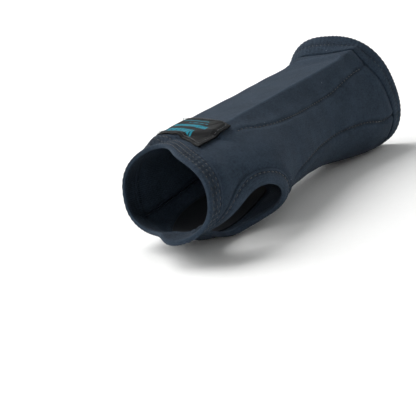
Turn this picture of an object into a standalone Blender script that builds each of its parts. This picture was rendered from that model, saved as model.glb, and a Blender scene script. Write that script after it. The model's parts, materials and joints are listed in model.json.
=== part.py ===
"""Pull-on wrist splint in its worn shape: a knit sleeve with a thumb hole, a stay in a dorsal pocket and a palm pad.

Sleeve frame, in metres: +Y runs from the hand opening to the forearm opening, +X to the thumb side, +Z to the back of
the hand, and z = 0 is the wearer's skin under the stay. An empty pitches the whole sleeve so that its pad and its cuff
rest on the floor, and puts the origin under the middle of its box.
"""

import math

import bmesh
import bpy
import numpy as np

# Cloth, stay and thread
PANEL = 0.0015  # thickness of the knit panels
LINING = 0.0008  # thickness of the linings
GAP = 0.0003  # clearance between pieces that touch
THREAD = 0.0003  # half width of a sewing thread
SUNK = 0.0001  # how far a thread in a groove lies below the cloth

# The wearer's arm, that the sleeve is stretched over, by distance from the hand opening
STATION_Y = (0.0, 0.035, 0.074, 0.134, 0.198)
ARM_HALF_WIDTH = (0.0353, 0.0404, 0.0320, 0.0250, 0.0318)
ARM_BOTTOM_Z = (-0.0335, -0.0456, -0.0425, -0.0470, -0.0568)
ARM_CENTRE_X = (0.0, 0.0010, 0.0007, -0.0027, -0.0029)
ARM_SQUARENESS = 2.35  # superellipse exponent of the arm's section
HAND_RISE, HAND_RISE_END, HAND_RISE_LENGTH = 0.0004, 0.034, 0.030
CUFF_RISE, CUFF_RISE_LENGTH = 0.0150, 0.028

# Openings. The y of each rim is a mean, plus a share of the cos and of the sin of the angle round the sleeve
SLEEVE_LENGTH = 0.1999
HAND_RIM = (0.0075, -0.0171, 0.0105)
FOREARM_RIM = (SLEEVE_LENGTH, -0.0038, -0.0088)
HEM_WIDTH = 0.0102
HEM_PROUD = 0.0006  # how far a hem stands out from the panels
HEM_INSIDE = 0.0004  # how far a hem reaches inside them
GROOVE_DEPTH, GROOVE_HALF = 0.0013, 0.0015
HAND_ROWS, FOREARM_ROWS, BINDING_ROWS = (0.0030, 0.0066), (0.0052,), (0.0056,)

# Thumb hole, an egg shape on the thumb side
THUMB_ANGLE = math.radians(325)
THUMB_HALF_LENGTH = 0.0195
THUMB_HEM_CLEAR = 0.0022  # of panel between the hand hem and the hole's binding
THUMB_HALF_DORSAL, THUMB_HALF_PALMAR = 0.0250, 0.0185
THUMB_RADIUS = 0.042  # of the sleeve there, which turns a width into an angle
BINDING_WIDTH = 0.0072

# Stay, and the pocket that it slides in
STAY_WIDTH, STAY_THICKNESS = 0.035, 0.0015
STAY_START = 0.040
STAY_HEM_CLEAR = 0.0089  # between the stay and the forearm hem
STAY_CORNER = 0.008
STAY_LEAD, STAY_RAMP = 0.008, 0.009  # past the stay's hand end, the cloth stays level, and then comes down
PATH_RISE = 0.0017  # room over the stay's way out
PATH_OVER_STAY, PATH_LENGTH = 0.011, 0.013
LINING_START, LINING_SHORT = 0.044, 0.007  # the lining ends short of the stay, which can be gripped there
POCKET_LABEL_CLEAR = 0.006  # between the label and the pocket's stitching
POCKET_Y = (0.044, 0.056, 0.073, 0.096, 0.134, 0.172)
POCKET_ANGLE = tuple(math.radians(a) for a in (43.5, 35.5, 30, 28, 30, 40))

# Side seams between the dorsal and the palmar panel
SEAM_Y = (0.0, 0.045, 0.110, 0.160, 0.198)
THUMB_SEAM_ANGLE = tuple(math.radians(a) for a in (-36, -18, -15, -15, -26))
LITTLE_SEAM_ANGLE = tuple(math.radians(a) for a in (198, 198, 195, 195, 204))
SEAM_SLOT = 0.022  # half the slot between two panels, as an angle
SEAM_CLEAR = 0.003  # how far a seam's thread stops short of a hem or a binding

# Label, sewn on beside the hand hem, from just outside one edge of the stay to just outside the other
LABEL_HEIGHT, LABEL_THICKNESS, LABEL_INSET = 0.024, 0.0006, 0.0016
LABEL_MARGIN = 0.0012
LABEL_BEYOND = math.radians(7)

# Palm pad under the heel of the hand
PAD_Y, PAD_ANGLE = 0.055, math.radians(252)
PAD_HALF_LENGTH, PAD_HALF_WIDTH, PAD_RADIUS = 0.036, 0.021, 0.030
PAD_BULGE = 0.0065
PAD_FILL_SHARE, PAD_COVER_SHARE = 0.64, 1.0

# Depth that the pad and the cuff are pressed flat by the floor
PAD_FLAT, CUFF_FLAT = 0.0012, 0.0009

DIRECTIONS = np.linspace(0.0, 2.0 * math.pi, 180, endpoint=False)
MATERIALS = {
    "knit": ((0.020, 0.026, 0.036), 0.95),
    "binding": ((0.026, 0.033, 0.044), 0.95),
    "lining": ((0.010, 0.011, 0.014), 0.95),
    "thread": ((0.012, 0.014, 0.020), 0.7),
    "label_weave": ((0.008, 0.014, 0.018), 0.5),
    "stay_plastic": ((0.55, 0.56, 0.56), 0.45),
    "pad_foam": ((0.60, 0.60, 0.58), 0.8),
}


def rim_y(rim, angle):
    return rim[0] + rim[1] * np.cos(angle) + rim[2] * np.sin(angle)


def hand_hem_edge(angle):
    return rim_y(HAND_RIM, angle) + HEM_WIDTH


def forearm_hem_edge(angle):
    return rim_y(FOREARM_RIM, angle) - HEM_WIDTH


STAY_END = float(forearm_hem_edge(math.pi / 2.0)) - STAY_HEM_CLEAR
THUMB_Y = float(hand_hem_edge(THUMB_ANGLE)) + THUMB_HEM_CLEAR + BINDING_WIDTH + THUMB_HALF_LENGTH


def smooth_step(t):
    t = np.clip(t, 0.0, 1.0)
    return t * t * (3.0 - 2.0 * t)


def along(y, stations, values):
    """Cubic through the values, with slopes that never overshoot them, and level past both ends."""
    x, v = np.array(stations), np.array(values)
    y = np.clip(y, x[0], x[-1])
    span, secant = np.diff(x), np.diff(v) / np.diff(x)
    product = secant[:-1] * secant[1:]
    total = np.where(product > 0.0, secant[:-1] + secant[1:], 1.0)
    slope = np.zeros_like(v)
    slope[1:-1] = 2.0 * np.maximum(product, 0.0) / total
    k = np.clip(np.searchsorted(x, y, side="right") - 1, 0, len(x) - 2)
    t = (y - x[k]) / span[k]
    rest = 1.0 - t
    start = v[k] * (1.0 + 2.0 * t) + slope[k] * span[k] * t
    end = v[k + 1] * (1.0 + 2.0 * rest) - slope[k + 1] * span[k] * rest
    return start * rest**2 + end * t**2


def arm_top(y):
    """Skin height on the back of the arm: level under the stay, higher over the hand and in the cuff."""
    hand = HAND_RISE * smooth_step((HAND_RISE_END - y) / HAND_RISE_LENGTH)
    return hand + CUFF_RISE * smooth_step((y - SLEEVE_LENGTH) / CUFF_RISE_LENGTH + 1.0)


def arm_middle(y):
    return along(y, STATION_Y, ARM_CENTRE_X), (arm_top(y) + along(y, STATION_Y, ARM_BOTTOM_Z)) / 2.0


def plate_top(y):
    """Height that the cloth is held at: over the stay, over its way out, and nowhere before its hand end."""
    seated = LINING + GAP + STAY_THICKNESS
    drop = smooth_step((STAY_START - STAY_LEAD - y) / STAY_RAMP)
    rise = smooth_step((y - STAY_END + PATH_OVER_STAY) / PATH_LENGTH)
    return seated * (1.0 - drop) - STAY_RAMP * drop + PATH_RISE * rise


def pad_share(y, angle):
    """0 at the pad's middle and 1 on its oval outline."""
    across = (np.mod(angle, 2.0 * math.pi) - PAD_ANGLE) * PAD_RADIUS
    return np.hypot((y - PAD_Y) / PAD_HALF_LENGTH, across / PAD_HALF_WIDTH)


def section_bottom(y, offset):
    return float(along(y, STATION_Y, ARM_BOTTOM_Z)) - LINING - GAP - offset


def floor_line():
    """(y, z, slope), in the sleeve frame, of the floor that the pad and the cuff rest on."""
    cuff_y = FOREARM_RIM[0] - FOREARM_RIM[2] - HEM_WIDTH / 2.0
    pad_z = section_bottom(PAD_Y, PANEL) - 0.8 * PAD_BULGE + PAD_FLAT
    cuff_z = section_bottom(cuff_y, PANEL + HEM_PROUD) + CUFF_FLAT
    return PAD_Y, pad_z, (cuff_z - pad_z) / (cuff_y - PAD_Y)


def surface(y, angle, height, outermost=PANEL, stuffed=True):
    """Points at a height above the panels' inner face, for arrays of y and of angle round the sleeve.

    The inner face is the taut hull of the arm's section and, when stuffed, of the stay, with the pad pushing it out.
    A convex outline's support function h gives the distance along each ray: the least of h / cos(ray - direction).
    Adding a thickness to h grows the outline evenly. The floor stops the outermost height, and flattens all below it.
    """
    y, angle, height = np.broadcast_arrays(np.asarray(y, float), angle, height)
    shape, y, angle, height = y.shape, y.ravel(), angle.ravel(), height.ravel()
    middle_x, middle_z = arm_middle(y)
    half, half_height = along(y, STATION_Y, ARM_HALF_WIDTH), arm_top(y) - middle_z
    power = ARM_SQUARENESS / (ARM_SQUARENESS - 1.0)
    cos, sin = np.cos(DIRECTIONS), np.sin(DIRECTIONS)
    wide = (half[:, None] * np.abs(cos)) ** power
    high = (half_height[:, None] * np.abs(sin)) ** power
    support = (wide + high) ** (1.0 / power) + LINING + GAP
    if stuffed:
        plate = STAY_WIDTH / 2.0 * np.abs(cos) - middle_x[:, None] * cos
        plate = plate + (plate_top(y) - middle_z)[:, None] * sin + GAP
        support = np.maximum(support, plate)
    lean = np.cos(angle[:, None] - DIRECTIONS)
    reach = np.where(lean > 0.05, (support + height[:, None]) / np.maximum(lean, 0.05), 1.0)
    radius = reach.min(axis=1)
    if stuffed:
        radius = radius + PAD_BULGE * np.clip(1.0 - pad_share(y, angle) ** 2, 0.0, 1.0) ** 2
    floor_y, floor_z, slope = floor_line()
    lowest = floor_z + slope * (y - floor_y) + outermost - height
    down = np.maximum(-np.sin(angle), 1e-6)
    radius = np.where(down > 1e-6, np.minimum(radius, (middle_z - lowest) / down), radius)
    points = np.stack([middle_x + radius * np.cos(angle), y, middle_z + radius * np.sin(angle)], axis=-1)
    return points.reshape(*shape, 3)


def stay_edge(y, side):
    """Angle of the stay's upper edge, on the thumb side (1) or on the little finger's (-1), seen from the middle."""
    middle_x, middle_z = arm_middle(y)
    height = np.maximum(plate_top(np.maximum(y, STAY_START)), arm_top(y)) - middle_z
    return np.arctan2(height, side * STAY_WIDTH / 2.0 - middle_x)


def thumb_seam(y):
    return along(y, SEAM_Y, THUMB_SEAM_ANGLE)


def little_seam(y):
    return along(y, SEAM_Y, LITTLE_SEAM_ANGLE)


def thumb_outline(turn, grown):
    """(y, angle) of the thumb hole's edge, grown outwards. A turn of 0 is towards the forearm, then it goes dorsally."""
    across = np.where(np.sin(turn) > 0.0, THUMB_HALF_DORSAL, THUMB_HALF_PALMAR) + grown
    y = THUMB_Y + (THUMB_HALF_LENGTH + grown) * np.cos(turn)
    return y, THUMB_ANGLE + across * np.sin(turn) / THUMB_RADIUS


def ring_angles(y):
    """Angles round the sleeve, with one on each edge of the stay."""
    thumb, little = float(stay_edge(y, 1)), float(stay_edge(y, -1))
    back = np.linspace(thumb, little, 9)[:-1]
    return np.concatenate([back, np.linspace(little, thumb + 2.0 * math.pi, 37)[:-1]])


def new_object(name, points, faces, material):
    mesh = bpy.data.meshes.new(name)
    mesh.from_pydata(points.reshape(-1, 3).tolist(), [], faces)
    shell = bmesh.new()
    shell.from_mesh(mesh)
    bmesh.ops.triangulate(shell, faces=shell.faces)
    bmesh.ops.recalc_face_normals(shell, faces=shell.faces)
    shell.to_mesh(mesh)
    shell.free()
    mesh.shade_smooth()
    mesh.set_sharp_from_angle(angle=math.radians(40))
    mesh.materials.append(bpy.data.materials[material])
    obj = bpy.data.objects.new(name, mesh)
    bpy.context.scene.collection.objects.link(obj)
    obj.parent = bpy.data.objects["sleeve_frame"]
    return obj


def quads(grid):
    """Faces of a grid of point numbers."""
    corners = (grid[:-1, :-1], grid[1:, :-1], grid[1:, 1:], grid[:-1, 1:])
    return np.stack(corners, axis=-1).reshape(-1, 4).tolist()


def sheet_solid(name, outer, inner, material):
    """A closed sheet between two grids of points, its outer and its inner face."""
    rows, columns = outer.shape[:2]
    index = np.arange(2 * rows * columns).reshape(2, rows, columns)
    borders = (index[:, 0], index[:, -1], index[:, :, 0], index[:, :, -1])
    faces = quads(index[0]) + quads(index[1])
    for border in borders:
        faces += quads(border)
    return new_object(name, np.stack([outer, inner]), faces, material)


def swept_solid(name, points, material, closed=True):
    """A closed profile carried along a path: points[along the path, round the profile]."""
    rings, sides = points.shape[:2]
    index = np.arange(rings * sides).reshape(rings, sides)
    grid = np.vstack([index, index[:1]]) if closed else index
    faces = quads(np.hstack([grid, grid[:, :1]]))
    if not closed:
        faces += [index[0].tolist(), index[-1].tolist()]
    return new_object(name, points, faces, material)


def band_profile(width, rows):
    """(distance from the rim, height over the panels) round a hem's section, with a groove for each row of thread."""
    profile = [(0.0, -PANEL - HEM_INSIDE), (0.0, HEM_PROUD)]
    for row in rows:
        profile += [(row - GROOVE_HALF, HEM_PROUD), (row, HEM_PROUD - GROOVE_DEPTH)]
        profile.append((row + GROOVE_HALF, HEM_PROUD))
    return np.array([*profile, (width, HEM_PROUD), (width, -PANEL - HEM_INSIDE)])


def thread_profile(row):
    """A diamond, in the same measures, that lies in a groove just below the hem's face."""
    middle = HEM_PROUD - THREAD - SUNK
    sides = ((1, 0), (0, 1), (-1, 0), (0, -1))
    return np.array([(row + THREAD * a, middle + THREAD * b) for a, b in sides])


def rim_band(name, rim, inward, profile, material):
    angle = ring_angles(rim_y(rim, math.pi / 2.0) + inward * HEM_WIDTH / 2.0)[:, None]
    y = rim_y(rim, angle) + inward * profile[:, 0]
    swept_solid(name, surface(y, angle, PANEL + profile[:, 1], PANEL + HEM_PROUD), material)


def thumb_band(name, profile, material):
    turn = np.linspace(0.0, 2.0 * math.pi, 40, endpoint=False)[:, None]
    y, angle = thumb_outline(turn, profile[:, 0])
    swept_solid(name, surface(y, angle, PANEL + profile[:, 1], PANEL + HEM_PROUD), material)


def laid_thread(name, y, angle, height, closed=False):
    """A diamond thread whose middle runs along a path at a height above the panels' inner face."""
    path = surface(y, angle, height, height + THREAD)
    if closed:
        ahead = np.roll(path, -1, axis=0) - np.roll(path, 1, axis=0)
    else:
        ahead = np.gradient(path, axis=0)
    above = surface(y, angle, height + 0.001, height + THREAD)
    out = above - surface(y, angle, height - 0.001, height + THREAD)
    side = np.cross(ahead, out)
    side = THREAD * side / np.linalg.norm(side, axis=1, keepdims=True)
    out = THREAD * out / np.linalg.norm(out, axis=1, keepdims=True)
    swept_solid(name, np.stack([path + side, path + out, path - side, path - out], axis=1), "thread", closed)


def panel_grid(stops, counts):
    """(y, angle) grids from hem to hem. stops(y) lists the angles that a column has to lie on."""
    label = LABEL_MARGIN + LABEL_HEIGHT
    inside = LABEL_MARGIN + LABEL_INSET
    near = [0.0, LABEL_MARGIN, inside, label / 3.0, label / 1.5, label - LABEL_INSET, label]
    share = np.concatenate([np.zeros(7), np.linspace(0.0, 1.0, 24)[1:]])[:, None]
    near = np.concatenate([near, np.full(23, label)])[:, None]
    columns = [np.linspace(0.0, 1.0, count, endpoint=False) for count in counts]
    piece = np.repeat(np.arange(len(counts)), counts)
    within = np.concatenate(columns)
    piece, within = np.append(piece, len(counts) - 1), np.append(within, 1.0)
    y = np.full((30, len(piece)), 0.1)
    for _ in range(8):
        angles = np.stack(stops(y))
        pick = np.arange(len(piece))
        start, end = angles[piece, :, pick].T, angles[piece + 1, :, pick].T
        angle = start + (end - start) * within
        first, last = hand_hem_edge(angle) + 1.5 * GAP, forearm_hem_edge(angle) - GAP
        y = first + near + share * (last - first - near)
    return y, angle


def dorsal_stops(y):
    thumb, little = stay_edge(y, 1), stay_edge(y, -1)
    edges = [thumb - LABEL_BEYOND, thumb, little, little + LABEL_BEYOND]
    return [thumb_seam(y) + SEAM_SLOT, *edges, little_seam(y) - SEAM_SLOT]


def palmar_stops(y):
    return [little_seam(y) + SEAM_SLOT, thumb_seam(y) + 2.0 * math.pi - SEAM_SLOT]


def cut_thumb_hole(panel, cutter):
    cut = panel.modifiers.new("thumb_hole", "BOOLEAN")
    cut.operation = "DIFFERENCE"
    cut.solver = "EXACT"
    cut.object = cutter


def make_thumb_cutter():
    """A plug through the sleeve's wall that leaves room for the binding, with a point at each end of its axis."""
    turn = np.linspace(0.0, 2.0 * math.pi, 40, endpoint=False)[:, None]
    y, angle = thumb_outline(turn, BINDING_WIDTH + GAP)
    rings = surface(y, angle, np.array([0.009, PANEL + HEM_PROUD, -HEM_INSIDE, -0.006]))
    ends = surface(THUMB_Y, THUMB_ANGLE, np.array([0.018, -0.012]))
    index = np.arange(160).reshape(40, 4)
    faces = quads(np.vstack([index, index[:1]]))
    for end, column in ((160, index[:, 0]), (161, index[:, 3])):
        faces += [[end, a, b] for a, b in zip(column.tolist(), np.roll(column, -1).tolist())]
    cutter = new_object("thumb_hole_cutter", np.concatenate([rings.reshape(-1, 3), ends]), faces, "knit")
    cutter.hide_render = True
    return cutter


def make_panels():
    cutter = make_thumb_cutter()
    y, angle = panel_grid(dorsal_stops, (10, 2, 6, 2, 9))
    dorsal = sheet_solid("dorsal_panel", surface(y, angle, PANEL), surface(y, angle, 0.0), "knit")
    cut_thumb_hole(dorsal, cutter)
    y, angle = panel_grid(palmar_stops, (18,))
    palmar = sheet_solid("palmar_panel", surface(y, angle, PANEL), surface(y, angle, 0.0), "knit")
    cut_thumb_hole(palmar, cutter)


def make_hems():
    hand, forearm = band_profile(HEM_WIDTH, HAND_ROWS), band_profile(HEM_WIDTH, FOREARM_ROWS)
    rim_band("hand_hem", HAND_RIM, 1.0, hand, "knit")
    rim_band("forearm_hem", FOREARM_RIM, -1.0, forearm, "knit")
    thumb_band("thumb_hole_binding", band_profile(BINDING_WIDTH, BINDING_ROWS), "binding")
    rim_band("hand_hem_outer_stitching", HAND_RIM, 1.0, thread_profile(HAND_ROWS[0]), "thread")
    rim_band("hand_hem_inner_stitching", HAND_RIM, 1.0, thread_profile(HAND_ROWS[1]), "thread")
    rim_band("forearm_hem_stitching", FOREARM_RIM, -1.0, thread_profile(FOREARM_ROWS[0]), "thread")
    thumb_band("thumb_hole_stitching", thread_profile(BINDING_ROWS[0]), "thread")


def make_side_seams():
    """Threads that fill the slots between the two panels."""
    hole_end = THUMB_Y + THUMB_HALF_LENGTH + BINDING_WIDTH
    hand_end = float(hand_hem_edge(LITTLE_SEAM_ANGLE[0]))
    for name, seam, start in (
        ("thumb_side_seam", thumb_seam, hole_end),
        ("little_finger_side_seam", little_seam, hand_end),
    ):
        end = float(forearm_hem_edge(seam(SEAM_Y[-1])))
        y = np.linspace(start + SEAM_CLEAR, end - SEAM_CLEAR, 32)
        laid_thread(name, y, seam(y), PANEL - THREAD - SUNK)


def make_pocket():
    """The lining under the stay, and the stitching that holds it to the dorsal panel on both sides."""
    y = np.linspace(LINING_START, STAY_END - LINING_SHORT, 20)[:, None]
    thumb = along(y, POCKET_Y, POCKET_ANGLE)
    angle = thumb + (math.pi - 2.0 * thumb) * np.linspace(0.0, 1.0, 17)
    outer = surface(y, angle, -GAP, stuffed=False)
    sheet_solid("stay_pocket_lining", outer, surface(y, angle, -GAP - LINING, stuffed=False), "lining")
    height = PANEL + GAP + THREAD
    for name, side in (("thumb", 1.0), ("little_finger", -1.0)):
        first = math.pi / 2.0 + side * (POCKET_ANGLE[0] - math.pi / 2.0)
        start = float(hand_hem_edge(first)) + LABEL_MARGIN + LABEL_HEIGHT + POCKET_LABEL_CLEAR
        y = np.linspace(start, STAY_END, 34)
        angle = math.pi / 2.0 + side * (along(y, POCKET_Y, POCKET_ANGLE) - math.pi / 2.0)
        laid_thread(f"pocket_stitching_{name}_side", y, angle, height)


def make_stay():
    """A flat strip with rounded corners."""
    turn = np.linspace(0.0, math.pi / 2.0, 7)
    turns = np.concatenate([turn + k * math.pi / 2.0 for k in range(4)])
    half_width, half_length = STAY_WIDTH / 2.0 - STAY_CORNER, (STAY_END - STAY_START) / 2.0 - STAY_CORNER
    right = np.repeat([1.0, -1.0, -1.0, 1.0], 7)
    ahead = np.repeat([1.0, 1.0, -1.0, -1.0], 7)
    x = right * half_width + STAY_CORNER * np.cos(turns)
    y = (STAY_START + STAY_END) / 2.0 + ahead * half_length + STAY_CORNER * np.sin(turns)
    low = np.full_like(x, LINING + GAP)
    faces = [np.stack([x, y, low + lift], axis=-1) for lift in (0.0, STAY_THICKNESS)]
    swept_solid("stay", np.stack(faces), "stay_plastic", closed=False)


def make_label():
    """The label and its stitching use the dorsal panel's own grid, so that both lie evenly on it."""
    y, angle = panel_grid(dorsal_stops, (10, 2, 6, 2, 9))
    y, angle = y[1:7, 10:21], angle[1:7, 10:21]
    bottom, top = PANEL + GAP, PANEL + GAP + LABEL_THICKNESS
    sheet_solid("label", surface(y, angle, top), surface(y, angle, bottom), "label_weave")
    rows = np.concatenate([np.full(8, 1), np.arange(1, 4), np.full(8, 4), np.arange(4, 1, -1)])
    columns = np.concatenate([np.arange(1, 9), np.full(3, 9), np.arange(9, 1, -1), np.full(3, 1)])
    laid_thread("label_stitching", y[rows, columns], angle[rows, columns], top + GAP + THREAD, closed=True)


def pad_grid(share):
    """(y, angle) of a square grid drawn out to the pad's oval."""
    u, v = np.meshgrid(np.linspace(-1.0, 1.0, 11), np.linspace(-1.0, 1.0, 11))
    y = PAD_Y + share * PAD_HALF_LENGTH * u * np.sqrt(1.0 - v**2 / 2.0)
    return y, PAD_ANGLE + share * PAD_HALF_WIDTH / PAD_RADIUS * v * np.sqrt(1.0 - u**2 / 2.0)


def make_pad():
    """The foam, between the palmar panel and a cover on the skin side."""
    y, angle = pad_grid(PAD_COVER_SHARE)
    outer = surface(y, angle, -1.5 * GAP, stuffed=False)
    sheet_solid("palm_pad_cover", outer, surface(y, angle, -GAP - LINING, stuffed=False), "lining")
    y, angle = pad_grid(PAD_FILL_SHARE)
    foam = surface(y, angle, -3.0 * GAP), surface(y, angle, 0.5 * GAP, stuffed=False)
    sheet_solid("palm_pad_foam", *foam, "pad_foam")


def clear_scene():
    for obj in list(bpy.data.objects):
        bpy.data.objects.remove(obj, do_unlink=True)


def make_materials():
    for name, (colour, roughness) in MATERIALS.items():
        material = bpy.data.materials.new(name)
        material.use_nodes = True
        shader = material.node_tree.nodes["Principled BSDF"]
        shader.inputs["Base Color"].default_value = (*colour, 1.0)
        shader.inputs["Roughness"].default_value = roughness
        material.diffuse_color = (*colour, 1.0)


def make_frame():
    """The empty that carries every piece, pitched so that the floor is level."""
    frame = bpy.data.objects.new("sleeve_frame", None)
    frame.rotation_euler = (math.atan(-floor_line()[2]), 0.0, 0.0)
    bpy.context.scene.collection.objects.link(frame)


def settle():
    """Moves the frame so that the lowest point is at z = 0 and the box is centred over the origin."""
    bpy.context.view_layer.update()
    frame = bpy.data.objects["sleeve_frame"]
    turn = np.array(frame.matrix_world.to_3x3())
    pieces = [obj for obj in bpy.data.objects if obj.type == "MESH" and not obj.hide_render]
    points = np.array([vertex.co[:] for obj in pieces for vertex in obj.data.vertices]) @ turn.T
    low, high = points.min(axis=0), points.max(axis=0)
    frame.location = (-(low[0] + high[0]) / 2.0, -(low[1] + high[1]) / 2.0, -low[2])
    bpy.context.view_layer.update()


clear_scene()
make_materials()
make_frame()
make_panels()
make_hems()
make_side_seams()
make_pocket()
make_stay()
make_label()
make_pad()
settle()
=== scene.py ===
"""A pull-on wrist splint of knit cloth, with a thumb hole, a stay on the back of the hand and a woven label.

The cloth is worked out in the sleeve's own frame, in metres: +Y runs from the hand opening to the forearm
opening, +X to the thumb side and +Z to the back of the hand. sleeve_to_world pitches it as the frame's joint
and stay say.
"""

import json
import math

import bpy
import numpy as np
from bpy.props import FloatProperty, FloatVectorProperty, PointerProperty
from bpy.types import Operator, Panel, PropertyGroup
from mathutils import Matrix, Vector


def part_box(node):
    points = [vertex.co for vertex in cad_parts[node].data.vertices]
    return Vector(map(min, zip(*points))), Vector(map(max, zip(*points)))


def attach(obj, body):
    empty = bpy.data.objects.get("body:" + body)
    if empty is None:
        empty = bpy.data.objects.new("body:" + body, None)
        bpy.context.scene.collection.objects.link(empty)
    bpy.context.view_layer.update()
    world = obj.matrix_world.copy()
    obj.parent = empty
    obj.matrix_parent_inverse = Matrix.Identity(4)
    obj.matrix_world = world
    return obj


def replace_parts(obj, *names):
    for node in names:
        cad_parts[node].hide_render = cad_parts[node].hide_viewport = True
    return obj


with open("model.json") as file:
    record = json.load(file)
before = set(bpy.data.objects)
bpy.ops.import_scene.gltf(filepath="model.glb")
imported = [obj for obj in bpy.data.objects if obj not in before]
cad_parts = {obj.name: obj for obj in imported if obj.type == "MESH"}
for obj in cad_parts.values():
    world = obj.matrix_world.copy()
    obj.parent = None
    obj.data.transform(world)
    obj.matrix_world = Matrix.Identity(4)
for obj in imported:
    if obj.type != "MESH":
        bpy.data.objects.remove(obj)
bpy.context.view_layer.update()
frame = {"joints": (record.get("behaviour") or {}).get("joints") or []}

bl_info = {
    "name": "Knit wrist splint",
    "version": (1, 0, 0),
    "blender": (4, 5, 0),
    "location": "3D View > Sidebar > Wrist splint",
    "description": "Builds a pull-on wrist splint with its stay, label, hems and stitching",
    "category": "Add Mesh",
}

# The sleeve that the frame was made to
PANEL, LINING, GAP = 0.0015, 0.0008, 0.0003
STATION_Y = (0.0, 0.035, 0.074, 0.134, 0.198)
ARM_HALF_WIDTH = (0.0353, 0.0404, 0.0320, 0.0250, 0.0318)
ARM_BOTTOM_Z = (-0.0335, -0.0456, -0.0425, -0.0470, -0.0568)
ARM_CENTRE_X = (0.0, 0.0010, 0.0007, -0.0027, -0.0029)
ARM_SQUARENESS = 2.35
HAND_RISE, HAND_RISE_END, HAND_RISE_LENGTH = 0.0004, 0.034, 0.030
CUFF_RISE, CUFF_RISE_LENGTH = 0.0150, 0.028
SLEEVE_LENGTH = 0.1999
HAND_RIM = (0.0075, -0.0171, 0.0105)
FOREARM_RIM = (SLEEVE_LENGTH, -0.0038, -0.0088)
HEM_WIDTH, HEM_PROUD, HEM_INSIDE = 0.0102, 0.0006, 0.0004
THUMB_Y, THUMB_ANGLE, THUMB_HALF_LENGTH = 0.0266, math.radians(325), 0.0195
THUMB_HALF_DORSAL, THUMB_HALF_PALMAR, THUMB_RADIUS = 0.0250, 0.0185, 0.042
BINDING_WIDTH = 0.0072
STAY_WIDTH, STAY_THICKNESS, STAY_CORNER = 0.035, 0.0015, 0.008
STAY_START, STAY_END = 0.040, 0.172
STAY_LEAD, STAY_RAMP = 0.008, 0.009
PATH_RISE, PATH_OVER_STAY, PATH_LENGTH = 0.0017, 0.011, 0.013
POCKET_Y = (0.044, 0.056, 0.073, 0.096, 0.134, 0.172)
POCKET_ANGLE = tuple(math.radians(a) for a in (43.5, 35.5, 30, 28, 30, 40))
SEAM_Y = (0.0, 0.045, 0.110, 0.160, 0.198)
THUMB_SEAM_ANGLE = tuple(math.radians(a) for a in (-36, -18, -15, -15, -26))
LITTLE_SEAM_ANGLE = tuple(math.radians(a) for a in (198, 198, 195, 195, 204))
LABEL_HEIGHT, LABEL_MARGIN, LABEL_BEYOND = 0.024, 0.0012, math.radians(7)
PAD_Y, PAD_ANGLE, PAD_RADIUS = 0.055, math.radians(252), 0.030
PAD_HALF_LENGTH, PAD_HALF_WIDTH, PAD_BULGE, PAD_FLAT = 0.036, 0.021, 0.0065, 0.0012
CUFF_FLAT = 0.0009

HALF_TURN, FULL_TURN = math.pi, 2.0 * math.pi
COARSE = np.linspace(0.0, FULL_TURN, 120, endpoint=False)
FINE = np.radians(np.linspace(-3.0, 3.0, 25))


def smooth_step(t):
    t = np.clip(t, 0.0, 1.0)
    return t * t * (3.0 - 2.0 * t)


def bump(distance, width):
    """A bell of height 1, whose reach is its width."""
    return np.exp(-((distance / width) ** 2))


def along(y, stations, values):
    """Cubic through the values, with slopes that never overshoot them, and level past both ends."""
    x, v = np.array(stations), np.array(values)
    y = np.clip(y, x[0], x[-1])
    span, secant = np.diff(x), np.diff(v) / np.diff(x)
    product = secant[:-1] * secant[1:]
    total = np.where(product > 0.0, secant[:-1] + secant[1:], 1.0)
    slope = np.zeros_like(v)
    slope[1:-1] = 2.0 * np.maximum(product, 0.0) / total
    k = np.clip(np.searchsorted(x, y, side="right") - 1, 0, len(x) - 2)
    t = (y - x[k]) / span[k]
    rest = 1.0 - t
    start = v[k] * (1.0 + 2.0 * t) + slope[k] * span[k] * t
    end = v[k + 1] * (1.0 + 2.0 * rest) - slope[k + 1] * span[k] * rest
    return start * rest**2 + end * t**2


def rim_y(rim, angle):
    return rim[0] + rim[1] * np.cos(angle) + rim[2] * np.sin(angle)


def hand_hem_edge(angle):
    return rim_y(HAND_RIM, angle) + HEM_WIDTH


def forearm_hem_edge(angle):
    return rim_y(FOREARM_RIM, angle) - HEM_WIDTH


def arm_top(y):
    """Skin height on the back of the arm: level under the stay, higher over the hand and in the cuff."""
    hand = HAND_RISE * smooth_step((HAND_RISE_END - y) / HAND_RISE_LENGTH)
    return hand + CUFF_RISE * smooth_step((y - SLEEVE_LENGTH) / CUFF_RISE_LENGTH + 1.0)


def arm_middle(y):
    return along(y, STATION_Y, ARM_CENTRE_X), (arm_top(y) + along(y, STATION_Y, ARM_BOTTOM_Z)) / 2.0


def plate_top(y):
    """Height that the cloth is held at over the stay and its way out."""
    seated = LINING + GAP + STAY_THICKNESS
    drop = smooth_step((STAY_START - STAY_LEAD - y) / STAY_RAMP)
    rise = smooth_step((y - STAY_END + PATH_OVER_STAY) / PATH_LENGTH)
    return seated * (1.0 - drop) - STAY_RAMP * drop + PATH_RISE * rise


def pad_share(y, angle):
    """0 at the pad's middle and 1 on its oval outline."""
    across = (np.mod(angle, FULL_TURN) - PAD_ANGLE) * PAD_RADIUS
    return np.hypot((y - PAD_Y) / PAD_HALF_LENGTH, across / PAD_HALF_WIDTH)


def floor_line():
    """(y, z, slope), in the sleeve frame, of the floor that the pad and the cuff rest on."""
    cuff_y = FOREARM_RIM[0] - FOREARM_RIM[2] - HEM_WIDTH / 2.0
    bottom = along(np.array([PAD_Y, cuff_y]), STATION_Y, ARM_BOTTOM_Z) - LINING - GAP - PANEL
    pad_z = bottom[0] - PAD_PRESSED * PAD_BULGE + PAD_FLAT
    cuff_z = bottom[1] - HEM_PROUD + CUFF_FLAT
    return PAD_Y, pad_z, (cuff_z - pad_z) / (cuff_y - PAD_Y)


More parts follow.
